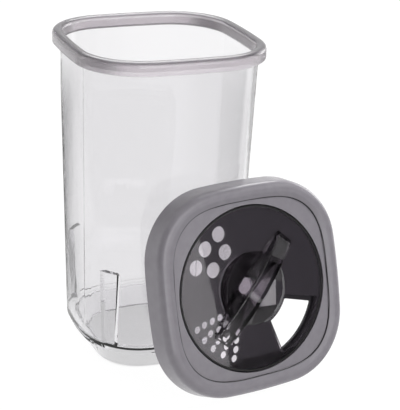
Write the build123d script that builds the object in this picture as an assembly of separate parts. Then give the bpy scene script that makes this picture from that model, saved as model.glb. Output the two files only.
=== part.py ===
"""Square spice jar with a soft rim ring and a turning sprinkler lid stood against its front.

Millimetres, +Z up. The origin is on the jar's own axis, in the plane of its foot. The front of the
jar faces -Y. The lid is off the jar: it stands on its lower side and leans on the jar's front wall.
"""
import os
from math import asin, atan2, cos, radians, sin, sqrt
from build123d import *

# Jar: bowed square outlines, given by half width, side arc and corner arc
RING_TOP = 135.6
RING_HALF = 40.0
RING_SIDE_ARC = 267.0
RING_CORNER_ARC = 25.8
WALL = 1.3
WALL_BOTTOM_HALF = 34.8
WALL_BOTTOM_SIDE_ARC = 113.0
WALL_BOTTOM_CORNER_ARC = 24.7
BODY_BOTTOM = 8.4
BODY_EDGE_ROUND = 1.6
FLOOR_RISE = 0.9
FLOOR_THICKNESS = 2.2
FLOOR_CORNER_ROUND = 0.7

# Foot: a hollow plinth below the floor
FOOT_STEP = 4.1
FOOT_TAPER = 2.6
FOOT_WALL = 1.6
FOOT_EDGE_ROUND = 0.6

# Corner ribs that stand on the floor inside the jar
RIB_HEIGHT = 33.1
RIB_DEPTH = 2.1
RIB_END_X = 24.5
RIB_END_Y = 22.3

# Rim ring: a soft bead pressed over the top edge of the wall
RING_OVERHANG = 2.9
RING_INNER_LIP = 0.4
RING_OUTER_DROP = 5.7
RING_INNER_DROP = 4.6
RING_COVER = 1.9
RING_TOP_ROUND = 2.2
RING_LOWER_ROUND = 0.7
RING_FIT = 0.05

# Lid frame, in its own flat frame: z = 0 is the open rim, +z is the outer face
LID_HEIGHT = 10.5
LID_WALL = 1.5
LID_RING_CLEARANCE = 0.3
LID_FLARE = 1.35
LID_EDGE_ROUND = 3.2
BORDER_THICKNESS = 1.9
STEP_MARGIN = 1.6
STEP_SIDE_ARC = 166.0
STEP_CORNER_ARC = 20.8
STEP_DROP = 1.1
STEP_LIP = 0.5
STEP_LIP_ROUND = 0.55
STEP_SLOPE = 2.2
STEP_EDGE_ROUND = 3.0
PANEL_THICKNESS = 1.6
PLUG_CLEARANCE = 0.25
PLUG_WALL = 1.3
WELL_WALL = 1.2
WELL_SIDE_WALL = 1.15
LEDGE_WIDTH = 1.6
LEDGE_THICKNESS = 1.5

# Dial: clear disc with a finger dish, a wing to turn it by and one opening
DIAL_EDGE_GAP = 0.4
DIAL_SINK = 0.1
DIAL_THICKNESS = 1.5
DIAL_EDGE_ROUND = 0.35
DIAL_RIM = 2.5
DIAL_GAP = 0.3
DIAL_STAND = 2.4  # degrees past the pouring window
DISH_RADIUS = 14.6
DISH_DEPTH = 4.8
DISH_WALL = 1.4
DISH_EDGE_ROUND = 1.8
WING_END_MARGIN = 8.1
WING_BEVEL = 2.2
WING_WIDTH = 7.6
WING_DRAFT = 2.5  # degrees
WING_END_HEIGHT = 2.0
WING_HEIGHT = 5.3
WING_WALL = 1.4
WING_EDGE_ROUND = 0.5
HUB_RADIUS = 3.4
HUB_FIT = 0.05
HUB_HEAD_LIP = 0.8
HUB_HEAD_THICKNESS = 0.9

# Sifter plate under the dial: dark disc with a cup, two hole fields, a pouring window and a blank quarter
PLATE_THICKNESS = 1.3
PLATE_EDGE_GAP = 0.2
CUP_WALL = 1.4
BIG_HOLE_RADIUS = 3.2
BIG_HOLE_MARGIN = 6.45
BIG_HOLE_PITCH = 7.65
BIG_HOLE_ANGLE = 135.0
SMALL_HOLE_RADIUS = 1.55
SMALL_HOLE_MARGIN = 4.6
SMALL_HOLE_PITCH = 3.65
SMALL_HOLE_ANGLE = 225.7
BLANK_ANGLE = 45.0
WINDOW_ANGLE = 315.0
WINDOW_DISH_MARGIN = 2.3
WINDOW_INNER_WIDTH = 11.4
WINDOW_OUTER_WIDTH = 24.2
WINDOW_CORNER_ROUND = 0.6
OPENING_MARGIN = 1.3
OPENING_SIDE_MARGIN = 1.0

# Rows of holes from the outermost inwards: the degrees a row spreads over, and those from hole to hole
BIG_HOLE_ROWS = ((35.2, 17.6), (26.0, 26.0))
SMALL_HOLE_ROWS = ((43.0, 10.8), (42.0, 10.5), (38.0, 12.7), (32.0, 16.0))

# How the lid stands: turned from the jar's front, leant back, beside the jar's middle
LID_TURN = 8.8  # degrees
LID_LEAN = 16.2  # degrees
LID_X = 21.4
LEAN_GAP = 0.3

# Cutters run past what they cut by OVERCUT, points closer than SAME_PLACE count as one, and the
# lid's rim is tried against the jar at RIM_SAMPLES points
OVERCUT = 1.0
SAME_PLACE = 0.01
RIM_SAMPLES = 720

# Outlines that follow from the sizes above
RING_OUTLINE = (RING_HALF, RING_SIDE_ARC, RING_CORNER_ARC)
RING_WIDTH = RING_OVERHANG + WALL + RING_INNER_LIP
PLUG_HALF = RING_HALF - RING_WIDTH - PLUG_CLEARANCE
WELL_RADIUS = PLUG_HALF - WELL_SIDE_WALL
DIAL_RADIUS = WELL_RADIUS - DIAL_EDGE_GAP
STEP_OUTLINE = (WELL_RADIUS + STEP_MARGIN, STEP_SIDE_ARC, STEP_CORNER_ARC)
WINDOW_INNER_RADIUS = DISH_RADIUS + WINDOW_DISH_MARGIN
WINDOW_OUTER_RADIUS = DIAL_RADIUS - DIAL_RIM - OPENING_MARGIN

# Heights that follow from the sizes above
FLOOR_UNDERSIDE = BODY_BOTTOM + FLOOR_RISE
FLOOR_TOP = FLOOR_UNDERSIDE + FLOOR_THICKNESS
WALL_TOP = RING_TOP - RING_COVER
RING_BOTTOM = RING_TOP - RING_OUTER_DROP
PANEL_TOP = LID_HEIGHT - STEP_DROP
PANEL_UNDERSIDE = PANEL_TOP - PANEL_THICKNESS
BORDER_UNDERSIDE = LID_HEIGHT - BORDER_THICKNESS
DIAL_TOP = PANEL_TOP - DIAL_SINK
DIAL_BOTTOM = DIAL_TOP - DIAL_THICKNESS
PLATE_TOP = DIAL_BOTTOM - DIAL_GAP
PLATE_BOTTOM = PLATE_TOP - PLATE_THICKNESS
WELL_BOTTOM = PLATE_BOTTOM - LEDGE_THICKNESS

# The dish, its underside and both faces of the cup are parts of spheres about one centre
DISH_SPHERE = (DISH_RADIUS**2 + DISH_DEPTH**2) / (2 * DISH_DEPTH)
DISH_UNDERSIDE_SPHERE = DISH_SPHERE + DISH_WALL
CUP_INNER_SPHERE = DISH_UNDERSIDE_SPHERE + DIAL_GAP
CUP_OUTER_SPHERE = CUP_INNER_SPHERE + CUP_WALL
SPHERE_CENTRE = DIAL_TOP - DISH_DEPTH + DISH_SPHERE


def arc_centres(half, side_arc, corner_arc):
    """Where a bowed square's side and corner arcs are centred, and the turn at which they meet."""
    side_centre = half - side_arc
    reach = side_arc - corner_arc
    corner_centre = (side_centre + sqrt(2 * reach**2 - side_centre**2)) / 2
    return side_centre, corner_centre, atan2(corner_centre, corner_centre - side_centre)


def bowed_square(half, side_arc, corner_arc, z=0.0):
    """Face with four bowed sides and four corner arcs, all tangent, centred on the z axis."""
    side_centre, corner_centre, turn = arc_centres(half, side_arc, corner_arc)
    near = side_centre + side_arc * cos(turn)
    far = side_arc * sin(turn)
    diagonal = corner_centre + corner_arc * cos(radians(45))
    edges = []
    for quarter in range(4):
        angle = 90 * quarter
        points = [Vector(*xy, z).rotate(Axis.Z, angle) for xy in
                  ((near, -far), (half, 0), (near, far), (diagonal, diagonal), (far, near))]
        edges.append(Edge.make_three_point_arc(points[0], points[1], points[2]))
        edges.append(Edge.make_three_point_arc(points[2], points[3], points[4]))
    return Face(Wire(edges))


def drawn_in(outline, inset):
    """The same outline, a distance further in all round."""
    return tuple(size - inset for size in outline)


def between(lower, upper, share):
    """Value a share of the way from one size to another."""
    return lower + (upper - lower) * share


def wall_outline(z, inset=0.0):
    """Outline of the jar's outside at a height, drawn in by an inset."""
    share = (z - BODY_BOTTOM) / (WALL_TOP - BODY_BOTTOM)
    bottom = (WALL_BOTTOM_HALF, WALL_BOTTOM_SIDE_ARC, WALL_BOTTOM_CORNER_ARC)
    top = drawn_in(RING_OUTLINE, RING_OVERHANG)
    return tuple(between(low, high, share) - inset for low, high in zip(bottom, top))


def wall_solid(z_low, z_high, inset=0.0):
    """Tapered solid inside the jar's outside, or inside its wall, between two heights."""
    low = bowed_square(*wall_outline(z_low, inset), z_low)
    high = bowed_square(*wall_outline(z_high, inset), z_high)
    return loft([low, high], ruled=True)


def edges_at(solid, z):
    """Edges that lie flat at one height."""
    boxes = [(edge, edge.bounding_box()) for edge in solid.edges()]
    return [edge for edge, box in boxes if max(abs(box.min.Z - z), abs(box.max.Z - z)) < SAME_PLACE]


def make_jar_body():
    """Tapered wall and floor, the hollow foot below and the ribs inside, all one moulding."""
    shell = wall_solid(BODY_BOTTOM, WALL_TOP)
    shell = fillet(edges_at(shell, BODY_BOTTOM), BODY_EDGE_ROUND)
    cavity = wall_solid(FLOOR_TOP, WALL_TOP + OVERCUT, WALL)
    cavity = fillet(edges_at(cavity, FLOOR_TOP), FLOOR_CORNER_ROUND)
    body = shell - cavity + make_foot() - make_foot_recess()
    for rib in make_corner_ribs():
        body += rib
    return body


def foot_outline(z, inset=0.0):
    """Outline of the foot at a height: a step in from the body's lower edge, and tapered to the ground."""
    taper = FOOT_TAPER * (1 - z / BODY_BOTTOM)
    return drawn_in(wall_outline(BODY_BOTTOM), FOOT_STEP + taper + inset)


def make_foot():
    """Outside of the foot, up to the underside of the floor."""
    low = bowed_square(*foot_outline(0), 0)
    high = bowed_square(*foot_outline(FLOOR_UNDERSIDE), FLOOR_UNDERSIDE)
    foot = loft([low, high], ruled=True)
    return fillet(edges_at(foot, 0), FOOT_EDGE_ROUND)


def make_foot_recess():
    """Hollow of the foot, open below."""
    low = bowed_square(*foot_outline(-OVERCUT, FOOT_WALL), -OVERCUT)
    high = bowed_square(*foot_outline(FLOOR_UNDERSIDE, FOOT_WALL), FLOOR_UNDERSIDE)
    return loft([low, high], ruled=True)


def make_corner_ribs():
    """One thick step in each corner, concentric with it, with a flat top and a square end each way."""
    z_low = FLOOR_TOP - FLOOR_THICKNESS / 2
    z_high = FLOOR_TOP + RIB_HEIGHT
    band = wall_solid(z_low, z_high, WALL / 2) - wall_solid(z_low, z_high, WALL + RIB_DEPTH)
    corner = Box(RING_HALF, RING_HALF, z_high - z_low, align=(Align.MIN, Align.MIN, Align.MIN))
    corner = Pos(RIB_END_X, RIB_END_Y, z_low) * corner
    right = [corner, mirror(corner, Plane.XZ)]
    return [band & block for block in right + [mirror(block, Plane.YZ) for block in right]]


def make_rim_ring():
    """Bead with a rounded top, hung over both faces of the wall's upper edge."""
    mouth = drawn_in(RING_OUTLINE, RING_WIDTH)
    bead = squared(RING_OUTLINE, RING_BOTTOM, RING_TOP)
    bead = fillet(edges_at(bead, RING_BOTTOM), RING_LOWER_ROUND)
    bead -= squared(mouth, RING_BOTTOM - OVERCUT, RING_TOP + OVERCUT)
    bead = fillet(edges_at(bead, RING_TOP), RING_TOP_ROUND)
    slot_bottom = RING_BOTTOM - OVERCUT
    slot_top = WALL_TOP + RING_FIT
    slot = wall_solid(slot_bottom, slot_top, -RING_FIT) - wall_solid(slot_bottom, slot_top, WALL + RING_FIT)
    open_core = wall_solid(slot_bottom, RING_TOP - RING_INNER_DROP, WALL / 2)
    return bead - slot - open_core


def lid_outline(z, inset=0.0):
    """Outline of the lid's skirt at a height: it clears the rim ring and flares towards its open rim."""
    flare = LID_FLARE * (1 - z / LID_HEIGHT)
    return drawn_in(RING_OUTLINE, inset - LID_RING_CLEARANCE - LID_WALL - flare)


def skirt_solid(z_low, z_high, inset=0.0):
    """Flared solid inside the lid's outside, or inside its skirt, between two heights."""
    low = bowed_square(*lid_outline(z_low, inset), z_low)
    high = bowed_square(*lid_outline(z_high, inset), z_high)
    return loft([low, high], ruled=True)


def disc(radius, z_low, z_high):
    """Round solid about the axis, between two heights."""
    return Pos(0, 0, z_low) * Cylinder(radius, z_high - z_low, align=(Align.CENTER, Align.CENTER, Align.MIN))


def squared(outline, z_low, z_high):
    """Straight solid on a bowed square, between two heights."""
    return extrude(bowed_square(*outline, z_low), z_high - z_low)


def make_lid_frame():
    """Flared skirt, rolled border, sunk panel with the dial's well, and the plug that fits the rim ring."""
    skirt = skirt_solid(0, LID_HEIGHT)
    skirt = fillet(edges_at(skirt, LID_HEIGHT), LID_EDGE_ROUND)
    lip_top = PANEL_TOP + STEP_LIP
    slope_low = bowed_square(*STEP_OUTLINE, lip_top)
    slope_high = bowed_square(*drawn_in(STEP_OUTLINE, -STEP_SLOPE), LID_HEIGHT)
    frame = skirt - squared(STEP_OUTLINE, PANEL_TOP, lip_top) - loft([slope_low, slope_high], ruled=True)
    frame = fillet(edges_at(frame, lip_top), STEP_LIP_ROUND)
    crest = frame.faces().sort_by(Axis.Z)[-1]
    frame = fillet(crest.inner_wires()[0].edges(), STEP_EDGE_ROUND)
    frame -= skirt_solid(-OVERCUT, BORDER_UNDERSIDE, LID_WALL)
    plug = drawn_in(RING_OUTLINE, RING_HALF - PLUG_HALF)
    web = squared(plug, PANEL_UNDERSIDE, PANEL_TOP)
    plug_hollow = squared(drawn_in(plug, PLUG_WALL), WELL_BOTTOM - OVERCUT, PANEL_TOP)
    plug_solid = squared(plug, WELL_BOTTOM, PANEL_TOP)
    well = disc(WELL_RADIUS + WELL_WALL, WELL_BOTTOM, PANEL_TOP) & plug_solid
    frame = frame + web + (plug_solid - plug_hollow) + well
    frame -= disc(WELL_RADIUS, PLATE_BOTTOM, LID_HEIGHT + OVERCUT)
    frame -= disc(WELL_RADIUS - LEDGE_WIDTH, WELL_BOTTOM - OVERCUT, LID_HEIGHT)
    return frame


def sphere_z(sphere, x):
    """Height of the lower half of a sphere about the dish's centre, at a distance from the axis."""
    return SPHERE_CENTRE - sqrt(sphere**2 - x**2)


def sphere_x(sphere, z):
    """Distance from the axis at which such a sphere reaches a height."""
    return sqrt(sphere**2 - (SPHERE_CENTRE - z) ** 2)


def bowl_arc(sphere, x_start, x_end):
    """Arc of a sphere's section, from one distance from the axis to another."""
    middle = (x_start + x_end) / 2
    points = [(x, 0, sphere_z(sphere, x)) for x in (x_start, middle, x_end)]
    return Edge.make_three_point_arc(*points)


def turned(edges):
    """Solid of revolution about the lid's axis from the edges of half a section."""
    ends = [(edges[k] @ 1, edges[(k + 1) % len(edges)] @ 0) for k in range(len(edges))]
    links = [Edge.make_line(a, b) for a, b in ends if (a - b).length > SAME_PLACE]
    return revolve(Face(Wire(edges + links)), Axis.Z)


def dished_disc(inner, outer, top, bottom, radius, bore):
    """Flat disc with a round bowl in its middle, between two spheres, and a bore through the bowl."""
    upper = bowl_arc(inner, bore, sphere_x(inner, top))
    lower = bowl_arc(outer, sphere_x(outer, bottom), bore)
    rim = Edge.make_line((radius, 0, top), (radius, 0, bottom))
    return turned([upper, rim, lower])


def sector(angle, inner_radius, outer_radius, inner_width, outer_width, z_low, z_high):
    """Wedge-shaped cutter with round ends, square to the disc, with its corners eased."""
    inner_turn = asin(inner_width / 2 / inner_radius)
    outer_turn = asin(outer_width / 2 / outer_radius)
    corners = [(r * cos(t), r * sin(t)) for r, t in
               ((inner_radius, inner_turn), (inner_radius, -inner_turn),
                (outer_radius, -outer_turn), (outer_radius, outer_turn))]
    inner = Edge.make_three_point_arc(corners[0], (inner_radius, 0), corners[1])
    outer = Edge.make_three_point_arc(corners[2], (outer_radius, 0), corners[3])
    sides = [Edge.make_line(corners[1], corners[2]), Edge.make_line(corners[3], corners[0])]
    face = Face(Wire([inner, sides[0], outer, sides[1]]))
    face = fillet(face.vertices(), WINDOW_CORNER_ROUND)
    return Pos(0, 0, z_low) * Rot(0, 0, angle) * extrude(face, z_high - z_low, dir=(0, 0, 1))


def hole_field(rows, middle_angle, radius, margin, pitch):
    """Holes on arcs about the axis, row by row inwards from a margin inside the dial's edge."""
    holes = []
    for row, (spread, step) in enumerate(rows):
        row_radius = DIAL_RADIUS - margin - pitch * row
        steps = round(spread / step)
        for k in range(steps + 1):
            angle = radians(middle_angle + spread * (k / steps - 0.5))
            hole = disc(radius, PLATE_BOTTOM - OVERCUT, PLATE_TOP + OVERCUT)
            holes.append(Pos(row_radius * cos(angle), row_radius * sin(angle), 0) * hole)
    return holes


def make_sifter_plate():
    """Fixed plate with its cup, its bore for the dial's hub, and what the dial opens and shuts."""
    plate = dished_disc(CUP_INNER_SPHERE, CUP_OUTER_SPHERE, PLATE_TOP, PLATE_BOTTOM,
                        WELL_RADIUS - PLATE_EDGE_GAP, HUB_RADIUS + HUB_FIT)
    holes = hole_field(BIG_HOLE_ROWS, BIG_HOLE_ANGLE, BIG_HOLE_RADIUS, BIG_HOLE_MARGIN, BIG_HOLE_PITCH)
    holes += hole_field(SMALL_HOLE_ROWS, SMALL_HOLE_ANGLE, SMALL_HOLE_RADIUS, SMALL_HOLE_MARGIN,
                        SMALL_HOLE_PITCH)
    for hole in holes:
        plate -= hole
    return plate - sector(WINDOW_ANGLE, WINDOW_INNER_RADIUS, WINDOW_OUTER_RADIUS, WINDOW_INNER_WIDTH,
                          WINDOW_OUTER_WIDTH, PLATE_BOTTOM - OVERCUT, PLATE_TOP + OVERCUT)


def wing_profile(inset, base_z, base_sphere):
    """Side view of the wing: bevelled ends, an arched top and a lower edge that follows the dish."""
    half_length = DIAL_RADIUS - WING_END_MARGIN - inset
    top_half_length = half_length - WING_BEVEL
    end_z = DIAL_TOP + WING_END_HEIGHT - inset
    top = Edge.make_three_point_arc((-top_half_length, 0, end_z), (0, 0, DIAL_TOP + WING_HEIGHT - inset),
                                    (top_half_length, 0, end_z))
    bowl_edge = sphere_x(base_sphere, base_z)
    right = [top @ 1, Vector(half_length, 0, DIAL_TOP), Vector(half_length, 0, base_z),
             Vector(bowl_edge, 0, base_z)]
    left = [Vector(-point.X, 0, point.Z) for point in reversed(right)]
    bowl = Edge.make_three_point_arc(right[-1], (0, 0, sphere_z(base_sphere, 0)), left[0])
    lines = [Edge.make_line(a, b) for points in (right, left) for a, b in zip(points, points[1:])]
    return Face(Wire([top, bowl] + lines))


def wing_block(width, inset, base_z, base_sphere):
    """Wing-shaped solid: its side view cut out of a slab whose sides lean in towards the top."""
    z_low = sphere_z(base_sphere, 0)
    z_high = DIAL_TOP + WING_HEIGHT
    lean = (z_high - z_low) * sin(radians(WING_DRAFT))
    low = Plane.XY.offset(z_low) * Rectangle(2 * DIAL_RADIUS, width + lean)
    high = Plane.XY.offset(z_high) * Rectangle(2 * DIAL_RADIUS, width - lean)
    slab = loft([low, high], ruled=True)
    side_view = wing_profile(inset, base_z, base_sphere)
    return slab & extrude(side_view, WING_WIDTH, both=True)


def make_dial():
    """Disc, dish and hollow wing in one piece, with a hub that snaps through the sifter plate."""
    dial = dished_disc(DISH_SPHERE, DISH_UNDERSIDE_SPHERE, DIAL_TOP, DIAL_BOTTOM, DIAL_RADIUS, 0)
    for pick, edge_round in ((min, DISH_EDGE_ROUND), (max, DIAL_EDGE_ROUND)):
        rounded = pick(edges_at(dial, DIAL_TOP), key=lambda edge: edge.bounding_box().max.X)
        dial = fillet(rounded, edge_round)
    wing = wing_block(WING_WIDTH, 0, DIAL_TOP - DIAL_THICKNESS / 2, DISH_SPHERE + DISH_WALL / 2)
    top_from = DIAL_TOP + WING_END_HEIGHT - SAME_PLACE
    wing_top = [edge for edge in wing.edges() if edge.bounding_box().min.Z > top_from]
    wing = fillet(wing_top, WING_EDGE_ROUND)
    wing_hollow = wing_block(WING_WIDTH - 2 * WING_WALL, WING_WALL, DIAL_BOTTOM - OVERCUT,
                             DISH_UNDERSIDE_SPHERE + OVERCUT)
    dial = dial + wing - wing_hollow
    cup_underside = sphere_z(CUP_OUTER_SPHERE, 0)
    head_top = cup_underside - DIAL_GAP
    head_bottom = head_top - HUB_HEAD_THICKNESS
    dial += disc(HUB_RADIUS, head_bottom, DIAL_TOP - DISH_DEPTH)
    dial += disc(HUB_RADIUS + HUB_HEAD_LIP, head_bottom, head_top)
    return dial_opening(Rot(0, 0, BLANK_ANGLE + DIAL_STAND) * dial)


def dial_opening(dial):
    """Cut the dial's own opening, a margin wider all round than the plate's pouring window."""
    slope = (WINDOW_OUTER_WIDTH - WINDOW_INNER_WIDTH) / (WINDOW_OUTER_RADIUS - WINDOW_INNER_RADIUS)
    inner_width = WINDOW_INNER_WIDTH - slope * OPENING_MARGIN + 2 * OPENING_SIDE_MARGIN
    outer_width = WINDOW_OUTER_WIDTH + slope * OPENING_MARGIN + 2 * OPENING_SIDE_MARGIN
    return dial - sector(WINDOW_ANGLE + DIAL_STAND, WINDOW_INNER_RADIUS - OPENING_MARGIN,
                         WINDOW_OUTER_RADIUS + OPENING_MARGIN, inner_width, outer_width,
                         DIAL_BOTTOM - OVERCUT, DIAL_TOP + OVERCUT)


def jar_front(x, z):
    """Y of the outside of the jar's front wall, or None beside the jar."""
    half, side_arc, corner_arc = wall_outline(z)
    side_centre, corner_centre, turn = arc_centres(half, side_arc, corner_arc)
    if abs(x) <= side_arc * sin(turn):
        return -(side_centre + sqrt(side_arc**2 - x**2))
    if abs(x) < corner_centre + corner_arc:
        return -(corner_centre + sqrt(corner_arc**2 - (abs(x) - corner_centre) ** 2))
    return None


def lid_stand():
    """Plane of the lid's open rim: on the floor, turned, leant back and a gap short of the jar."""
    turn = radians(LID_TURN)
    lean = radians(LID_LEAN)
    normal = Vector(sin(turn) * cos(lean), -cos(turn) * cos(lean), sin(lean))
    across = Vector(cos(turn), sin(turn), 0)
    up = normal.cross(across)
    rim = bowed_square(*lid_outline(0)).outer_wire()
    points = [rim @ (k / RIM_SAMPLES) for k in range(RIM_SAMPLES)]
    places = [across * point.X + up * point.Y for point in points]
    height = -min(place.Z for place in places)
    fronts = [(place, jar_front(LID_X + place.X, height + place.Z)) for place in places]
    depth = min(front - place.Y for place, front in fronts if front is not None) - LEAN_GAP
    return Plane(origin=(LID_X, depth, height), x_dir=across, z_dir=normal)


def main():
    """Make every piece, put the lid's pieces where the lid stands and write the part files."""
    lid = lid_stand().location
    nodes = {
        "jar_body": make_jar_body(),
        "rim_ring": make_rim_ring(),
        "lid_frame": lid * make_lid_frame(),
        "sifter_plate": lid * make_sifter_plate(),
        "dial": lid * make_dial(),
    }
    os.makedirs("parts", exist_ok=True)
    for name, solid in nodes.items():
        export_step(solid, f"parts/{name}.step")
    print("lid rim centre", lid.position, "normal", lid_stand().z_dir)


main()
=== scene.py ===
"""Looks of the spice jar and its leaning lid: materials, floor, light and the photograph's camera.

Lengths are in metres, powers in watts and colours linear.
"""

import bpy
from mathutils import Matrix, Vector

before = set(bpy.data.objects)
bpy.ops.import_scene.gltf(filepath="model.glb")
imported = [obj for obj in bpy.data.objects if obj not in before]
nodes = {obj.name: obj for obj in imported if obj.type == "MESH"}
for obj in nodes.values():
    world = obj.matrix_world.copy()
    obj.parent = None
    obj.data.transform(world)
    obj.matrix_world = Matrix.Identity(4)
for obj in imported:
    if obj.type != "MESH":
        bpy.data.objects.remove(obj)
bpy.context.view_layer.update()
scene = bpy.context.scene

# Noise textures: scale and detail, and the values that they seldom leave
HAZE, RIPPLE = (60.0, 3.0), (45.0, 1.0)
MOTTLE, SHEEN, GRAIN = (300.0, 4.0), (400.0, 3.0), (2600.0, 2.0)
NOISE_SPAN = (0.35, 0.65)
RIPPLE_HEIGHT = 0.00002
GRAIN_HEIGHT = 0.000004

# The lid's own axes, across and up its face, and the middle of its rim
LID_MIDDLE = Vector((0.0214, -0.0470752, 0.0414367))
LID_ACROSS = (0.98822838, 0.15298584, 0.0)
LID_UP = (-0.04268169, 0.27570693, 0.96029369)
SQUARE_POWER = 3.3  # of the rounded square that the lid and the jar's foot follow


# Shader helpers
def set_inputs(node, values):
    for name, value in values.items():
        node.inputs[name].default_value = value


def new_material(name):
    """Empty material with one shader; returns it with its tree, shader and output."""
    material = bpy.data.materials.new(name)
    material.use_nodes = True
    tree = material.node_tree
    tree.nodes.clear()
    shader = tree.nodes.new("ShaderNodeBsdfPrincipled")
    output = tree.nodes.new("ShaderNodeOutputMaterial")
    tree.links.new(shader.outputs["BSDF"], output.inputs["Surface"])
    return material, tree, shader, output


def coordinates(tree, kind):
    return tree.nodes.new("ShaderNodeTexCoord").outputs[kind]


def separate(tree, vector):
    node = tree.nodes.new("ShaderNodeSeparateXYZ")
    tree.links.new(vector, node.inputs["Vector"])
    return node.outputs["X"], node.outputs["Y"], node.outputs["Z"]


def noise(tree, scale, detail):
    texture = tree.nodes.new("ShaderNodeTexNoise")
    set_inputs(texture, {"Scale": scale, "Detail": detail})
    tree.links.new(coordinates(tree, "Object"), texture.inputs["Vector"])
    return texture.outputs["Fac"]


def ramp(tree, source, low, high):
    """Colour or grey that runs from one value to another with a texture."""
    node = tree.nodes.new("ShaderNodeValToRGB")
    for element, value, place in zip(node.color_ramp.elements, (low, high), NOISE_SPAN):
        element.color = value if isinstance(value, tuple) else (value, value, value, 1.0)
        element.position = place
    tree.links.new(source, node.inputs["Fac"])
    return node.outputs["Color"]


def step(tree, source, span, low=0.0, high=1.0):
    """Smooth change from low to high while the source crosses the span."""
    node = tree.nodes.new("ShaderNodeMapRange")
    node.interpolation_type = "SMOOTHSTEP"
    set_inputs(node, {"From Min": span[0], "From Max": span[1], "To Min": low, "To Max": high})
    tree.links.new(source, node.inputs["Value"])
    return node.outputs["Result"]


def maths(tree, operation, *sources):
    """Result of a maths node. Each source is a socket or a float."""
    node = tree.nodes.new("ShaderNodeMath")
    node.operation = operation
    for source, socket in zip(sources, node.inputs):
        if isinstance(source, float):
            socket.default_value = source
        else:
            tree.links.new(source, socket)
    return node.outputs["Value"]


def product(tree, result, *factors):
    for factor in factors:
        result = maths(tree, "MULTIPLY", result, factor)
    return result


def band(tree, source, rise, fall):
    """One between the two spans and zero outside them."""
    return product(tree, step(tree, source, rise), step(tree, source, fall, 1.0, 0.0))


def round_reach(tree, across, along):
    """How far out a place is."""
    squares = [maths(tree, "MULTIPLY", part, part) for part in (across, along)]
    return maths(tree, "SQRT", maths(tree, "ADD", *squares))


def square_reach(tree, across, along):
    """How far out a place is, measured as on a rounded square."""
    powers = [maths(tree, "POWER", maths(tree, "ABSOLUTE", part), SQUARE_POWER)
              for part in (across, along)]
    return maths(tree, "POWER", maths(tree, "ADD", *powers), 1 / SQUARE_POWER)


def mix_colors(tree, factor, *colors, blend="MIX"):
    """Second colour laid over the first one. The factor and both colours are sockets or values."""
    node = tree.nodes.new("ShaderNodeMix")
    node.data_type = "RGBA"
    node.blend_type = blend
    for name, source in zip(("Factor", "A", "B"), (factor, *colors)):
        if isinstance(source, (float, tuple)):
            node.inputs[name].default_value = source
        else:
            tree.links.new(source, node.inputs[name])
    return node.outputs["Result"]


def tint_part(tree, shader, where, plain, tint):
    color = mix_colors(tree, where, plain, tint)
    tree.links.new(color, shader.inputs["Base Color"])


def roughen_part(tree, shader, where, roughness):
    before = shader.inputs["Roughness"].links[0].from_socket
    rough = maths(tree, "MAXIMUM", maths(tree, "MULTIPLY", where, roughness), before)
    tree.links.new(rough, shader.inputs["Roughness"])


def add_bump(tree, shader, source, distance):
    bump = tree.nodes.new("ShaderNodeBump")
    set_inputs(bump, {"Strength": 1.0, "Distance": distance})
    tree.links.new(source, bump.inputs["Height"])
    tree.links.new(bump.outputs["Normal"], shader.inputs["Normal"])


def add_absorption(tree, output, color, density):
    volume = tree.nodes.new("ShaderNodeVolumeAbsorption")
    set_inputs(volume, {"Color": color, "Density": density})
    tree.links.new(volume.outputs["Volume"], output.inputs["Volume"])


def lid_places(tree):
    """How far a place on the lid lies across and up its face from the middle of its rim."""
    places = []
    for axis in (LID_ACROSS, LID_UP):
        along = tree.nodes.new("ShaderNodeVectorMath")
        along.operation = "DOT_PRODUCT"
        along.inputs[1].default_value = axis
        tree.links.new(coordinates(tree, "Object"), along.inputs[0])
        middle = Vector(axis).dot(LID_MIDDLE)
        places.append(maths(tree, "SUBTRACT", along.outputs["Value"], middle))
    return places


# Materials
def clear_plastic(name, tint, ior, roughness, absorb, density, transmission=1.0):
    """Moulded clear plastic: a faint ripple, varied roughness and colour from its depth."""
    material, tree, shader, output = new_material(name)
    set_inputs(shader, {"Base Color": tint, "IOR": ior, "Transmission Weight": transmission})
    rough = ramp(tree, noise(tree, *HAZE), *roughness)
    tree.links.new(rough, shader.inputs["Roughness"])
    add_bump(tree, shader, noise(tree, *RIPPLE), RIPPLE_HEIGHT)
    add_absorption(tree, output, absorb, density)
    return material, tree, shader


def satin_plastic(name, low, high, roughness):
    """Moulded opaque plastic with a fine spark-eroded grain."""
    material, tree, shader, _ = new_material(name)
    color = ramp(tree, noise(tree, *MOTTLE), low, high)
    tree.links.new(color, shader.inputs["Base Color"])
    rough = ramp(tree, noise(tree, *SHEEN), *roughness)
    tree.links.new(rough, shader.inputs["Roughness"])
    add_bump(tree, shader, noise(tree, *GRAIN), GRAIN_HEIGHT)
    return material, tree, shader


def jar_plastic():
    """Clear and faintly smoky."""
    material, _, _ = clear_plastic(
        "jar_plastic", tint=(0.88, 0.875, 0.885, 1.0), ior=1.5, roughness=(0.0, 0.03),
        absorb=(0.55, 0.55, 0.6, 1.0), density=15.0)
    return material


def ring_rubber():
    """Milky grey, with painted shade that makes it darker where it faces up and somewhat darker
    where it faces X; duller where it faces up.
    """
    side_tint, top_painted_shade = (0.93, 0.9, 0.92, 1.0), (0.13, 0.12, 0.135, 1.0)
    top_span, top_roughness = (0.2, 0.8), 0.28
    ends_span, ends_painted_shade_share = (0.45, 0.85), 0.42
    material, tree, shader = clear_plastic(
        "ring_rubber", tint=side_tint, ior=1.45, roughness=(0.07, 0.11),
        absorb=(0.55, 0.5, 0.55, 1.0), density=95.0, transmission=0.8)
    sideways, _, upwards = separate(tree, coordinates(tree, "Normal"))
    # Painted shade: the tint darkens where the ring faces up and, less so, where it faces X
    top = step(tree, upwards, top_span)
    ends = step(tree, maths(tree, "ABSOLUTE", sideways), ends_span, 0.0, ends_painted_shade_share)
    tint_part(tree, shader, maths(tree, "MAXIMUM", top, ends), side_tint, top_painted_shade)
    roughen_part(tree, shader, top, top_roughness)
    return material


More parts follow.
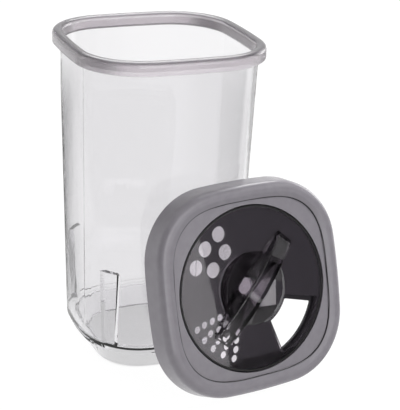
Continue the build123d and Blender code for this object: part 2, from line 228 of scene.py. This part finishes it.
def dial_plastic():
    """Smoky and clear, with painted shade along the dial's edge: a dark band there, which is also
    duller.
    """
    tint, edge_painted_shade = (0.955, 0.93, 0.955, 1.0), (0.03, 0.028, 0.032, 1.0)
    edge_roughness = 0.6
    radius = 0.0336
    edge_span = (radius - 0.0008, radius - 0.0006)
    material, tree, shader = clear_plastic(
        "dial_plastic", tint=tint, ior=1.5, roughness=(0.0, 0.03),
        absorb=(0.36, 0.31, 0.37, 1.0), density=295.0)
    # Painted shade: a dark band along the dial's edge, where the gap to the frame is
    edge = step(tree, round_reach(tree, *lid_places(tree)), edge_span)
    tint_part(tree, shader, edge, tint, edge_painted_shade)
    roughen_part(tree, shader, edge, edge_roughness)
    return material


def frame_plastic():
    """Mid-grey, with painted shade in a thin dark band at the foot of the lip round the sunk
    panel.
    """
    lip_painted_shade = (0.02, 0.019, 0.021, 1.0)
    lip_shade_rise, lip_shade_fall = (0.0355, 0.0356), (0.0357, 0.0361)
    material, tree, shader = satin_plastic(
        "frame_plastic", low=(0.158, 0.15, 0.165, 1.0), high=(0.17, 0.162, 0.177, 1.0),
        roughness=(0.22, 0.24))
    shader.inputs["Specular IOR Level"].default_value = 0.4
    # Painted shade: a thin dark band at the foot of the lip, where shade falls in the groove
    lip_shade_band = band(tree, square_reach(tree, *lid_places(tree)), lip_shade_rise, lip_shade_fall)
    plain = shader.inputs["Base Color"].links[0].from_socket
    tint_part(tree, shader, lip_shade_band, plain, lip_painted_shade)
    return material


def plate_plastic():
    """Near-black."""
    material, _, _ = satin_plastic(
        "plate_plastic", low=(0.007, 0.006, 0.008, 1.0), high=(0.01, 0.009, 0.011, 1.0),
        roughness=(0.12, 0.18))
    return material


for node_name, make_material in (("jar_body", jar_plastic), ("rim_ring", ring_rubber),
                                 ("dial", dial_plastic), ("lid_frame", frame_plastic),
                                 ("sifter_plate", plate_plastic)):
    mesh = nodes[node_name].data
    mesh.materials.clear()
    mesh.materials.append(make_material())

# Floor: the spans, across (X) and along (Y, negative in front), over which its glow changes
FLOOR_HALF, FLOOR_HEIGHT = 4.0, -0.0002
GLOW, DIFFUSE_EXTRA = 0.98, 0.5
FOOT_SPAN, FOOT_SHADE = (0.0262, 0.0285), 0.69
AWAY_SPAN, AWAY_SHIFT = (0.045, 0.075), 0.02
SLANT, SLANT_START = 0.42, 0.015
SIDE_SPAN, LEFT_DIM, RIGHT_DIM = (-0.035, 0.045), 0.27, 0.95
RIGHT_SPAN, RIGHT_FRONT_SPAN = (0.055, 0.09), (-0.08, -0.03)
RIGHT_BACK_SPAN, RIGHT_BACK_SHARE = (0.07, 0.13), 0.4
BEHIND_SPAN = (0.3, 0.5)
LID_LEFT_SPAN, LID_RIGHT_SPAN = (-0.01, 0.02), (0.06, 0.08)
LID_FRONT_SPAN, LID_BACK_SPAN = (-0.2, -0.15), (-0.12, -0.08)


def floor_glow(tree):
    """Strength of the floor's glow: even, but shaded under the jar's foot, brighter for diffuse
    rays, and dimmed in single reflections away from the part. Three zones are kept out of the
    dimming: on the part's right (less so at the back), far behind it, and before the lid.
    """
    across, along, _ = separate(tree, coordinates(tree, "Object"))
    ray = tree.nodes.new("ShaderNodeLightPath")
    slanted = maths(tree, "ADD", maths(tree, "MULTIPLY_ADD", along, SLANT, SLANT_START), across)

    right = product(tree, step(tree, across, RIGHT_SPAN), step(tree, along, RIGHT_FRONT_SPAN),
                    step(tree, along, RIGHT_BACK_SPAN, 1.0, RIGHT_BACK_SHARE))
    behind = step(tree, along, BEHIND_SPAN)
    before_lid = product(tree, step(tree, slanted, LID_LEFT_SPAN),
                         step(tree, across, LID_RIGHT_SPAN, 1.0, 0.0),
                         band(tree, along, LID_FRONT_SPAN, LID_BACK_SPAN))
    kept = maths(tree, "MAXIMUM", maths(tree, "MAXIMUM", right, behind), before_lid)

    single = maths(tree, "COMPARE", ray.outputs["Glossy Depth"], 1.0, 0.5)
    side = step(tree, slanted, SIDE_SPAN, LEFT_DIM, RIGHT_DIM)
    shifted = maths(tree, "ADD", along, AWAY_SHIFT)
    away = step(tree, square_reach(tree, across, shifted), AWAY_SPAN)
    dim = product(tree, side, away, maths(tree, "SUBTRACT", 1.0, kept), single)

    shade = step(tree, square_reach(tree, across, along), FOOT_SPAN, FOOT_SHADE, 1.0)
    strength = maths(tree, "MULTIPLY_ADD", ray.outputs["Is Diffuse Ray"], DIFFUSE_EXTRA, GLOW)
    return product(tree, maths(tree, "SUBTRACT", 1.0, dim), shade, strength)


floor_mesh = bpy.data.meshes.new("floor")
floor_mesh.from_pydata([(x * FLOOR_HALF, y * FLOOR_HALF, FLOOR_HEIGHT)
                        for x, y in ((-1, -1), (1, -1), (1, 1), (-1, 1))], [], [(0, 1, 2, 3)])
floor = bpy.data.objects.new("floor", floor_mesh)
scene.collection.objects.link(floor)
floor_material, floor_tree, floor_shader, _ = new_material("floor")
set_inputs(floor_shader, {"Base Color": (0.03, 0.03, 0.03, 1.0), "Roughness": 0.9,
                          "Specular IOR Level": 0.1, "Emission Color": (1.0, 1.0, 1.0, 1.0)})
floor_tree.links.new(floor_glow(floor_tree), floor_shader.inputs["Emission Strength"])
floor_mesh.materials.append(floor_material)

# World: a light tent. Stops: the direction's Y, which is negative in front, and the colour
TENT_STOPS = ((-0.74, (0.42, 0.39, 0.44)), (-0.6, (0.02, 0.019, 0.021)),
              (0.05, (0.02, 0.019, 0.021)), (0.38, (1.0, 1.0, 1.0)))
TENT_STRENGTH = 1.02
OVERHEAD_SPAN, OVERHEAD_LIGHT = (0.6, 0.8), 0.5


def tent_color(tree):
    """Grey far in front, dark at the sides, white behind, and at least mid-grey overhead."""
    _, along, height = separate(tree, coordinates(tree, "Generated"))
    share = tree.nodes.new("ShaderNodeMapRange")
    share.inputs["From Min"].default_value = -1.0
    tree.links.new(along, share.inputs["Value"])
    spread = tree.nodes.new("ShaderNodeValToRGB")
    tree.links.new(share.outputs["Result"], spread.inputs["Fac"])
    spread.color_ramp.interpolation = "EASE"
    elements = spread.color_ramp.elements
    for _ in TENT_STOPS[2:]:
        elements.new(0.5)
    # All places first, because an element that moves past another one changes its index
    for element, (stop, _) in zip(elements, TENT_STOPS):
        element.position = (stop + 1) / 2
    for element, (_, color) in zip(elements, TENT_STOPS):
        element.color = (*color, 1.0)
    overhead = step(tree, height, OVERHEAD_SPAN, 0.0, OVERHEAD_LIGHT)
    return mix_colors(tree, 1.0, spread.outputs["Color"], overhead, blend="LIGHTEN")


world = bpy.data.worlds.new("tent")
scene.world = world
world.use_nodes = True
tent = world.node_tree
tent.nodes.clear()
background = tent.nodes.new("ShaderNodeBackground")
background.inputs["Strength"].default_value = TENT_STRENGTH
tent.links.new(tent_color(tent), background.inputs["Color"])
world_output = tent.nodes.new("ShaderNodeOutputWorld")
tent.links.new(background.outputs["Background"], world_output.inputs["Surface"])

# Lights
SUBJECT = (0.0, -0.05, 0.05)


def soft_box(name, place, target, size, power, lights=True, reflects=True, shines_through=True):
    """Rectangular light, aimed at a point, that the camera never sees itself."""
    data = bpy.data.lights.new(name, "AREA")
    data.shape = "RECTANGLE"
    data.size, data.size_y = size
    data.energy = power
    lamp = bpy.data.objects.new(name, data)
    lamp.location = place
    lamp.rotation_euler = (Vector(target) - Vector(place)).to_track_quat("-Z", "Y").to_euler()
    lamp.visible_camera = False
    lamp.visible_diffuse = lights
    lamp.visible_glossy = reflects
    lamp.visible_transmission = reflects and shines_through
    scene.collection.objects.link(lamp)


soft_box("top", (0.15, 0.5, 1.0), (0.0, 0.0, 0.05), (0.9, 0.9), 21.0, shines_through=False)
soft_box("key", (0.85, -0.49, 0.74), SUBJECT, (0.6, 0.6), 12.5, reflects=False)
soft_box("fill", (-1.1, -0.3, 0.5), SUBJECT, (0.8, 0.8), 4.0, reflects=False)
soft_box("front", (0.625, -1.25, 0.6), (0.625, -0.05, 0.6), (0.59, 1.19), 3.8, lights=False)
soft_box("front_left", (0.005, -1.25, 0.6), (0.005, -0.05, 0.6), (0.65, 1.19), 7.3, lights=False)
soft_box("side", (0.92, -0.54, 0.65), SUBJECT, (0.73, 0.73), 1.35)
soft_box("right_back", (1.05, 0.4, 0.4), SUBJECT, (0.6, 0.6), 2.8, shines_through=False)

# Camera: solved from the photograph
CAMERA_PLACE = (-0.185677, -0.498345, 0.272251)
CAMERA_RIGHT = (0.9284394, -0.3695813, 0.0375482)
CAMERA_UP = (0.1036597, 0.3548080, 0.9291749)
CAMERA_BACK = (-0.3567280, -0.8587904, 0.3677284)
PHOTO_LONG_SIDE = 410
FOCAL_PIXELS = 1343.71
SENSOR = 36.0  # in millimetres, as the lens is
camera_data = bpy.data.cameras.new("camera")
camera_data.sensor_width = SENSOR
camera_data.lens = FOCAL_PIXELS * SENSOR / PHOTO_LONG_SIDE
camera_data.clip_start = 0.01
camera = bpy.data.objects.new("camera", camera_data)
camera_axes = Matrix((CAMERA_RIGHT, CAMERA_UP, CAMERA_BACK)).transposed()
camera.matrix_world = Matrix.Translation(CAMERA_PLACE) @ camera_axes.to_4x4()
scene.collection.objects.link(camera)
scene.camera = camera

# Tones as lit, and enough bounces for light that passes many clear walls
scene.view_settings.view_transform = "Standard"
scene.view_settings.look = "None"
scene.cycles.max_bounces = 24
scene.cycles.transmission_bounces = 24
scene.cycles.glossy_bounces = 8
scene.cycles.transparent_max_bounces = 16
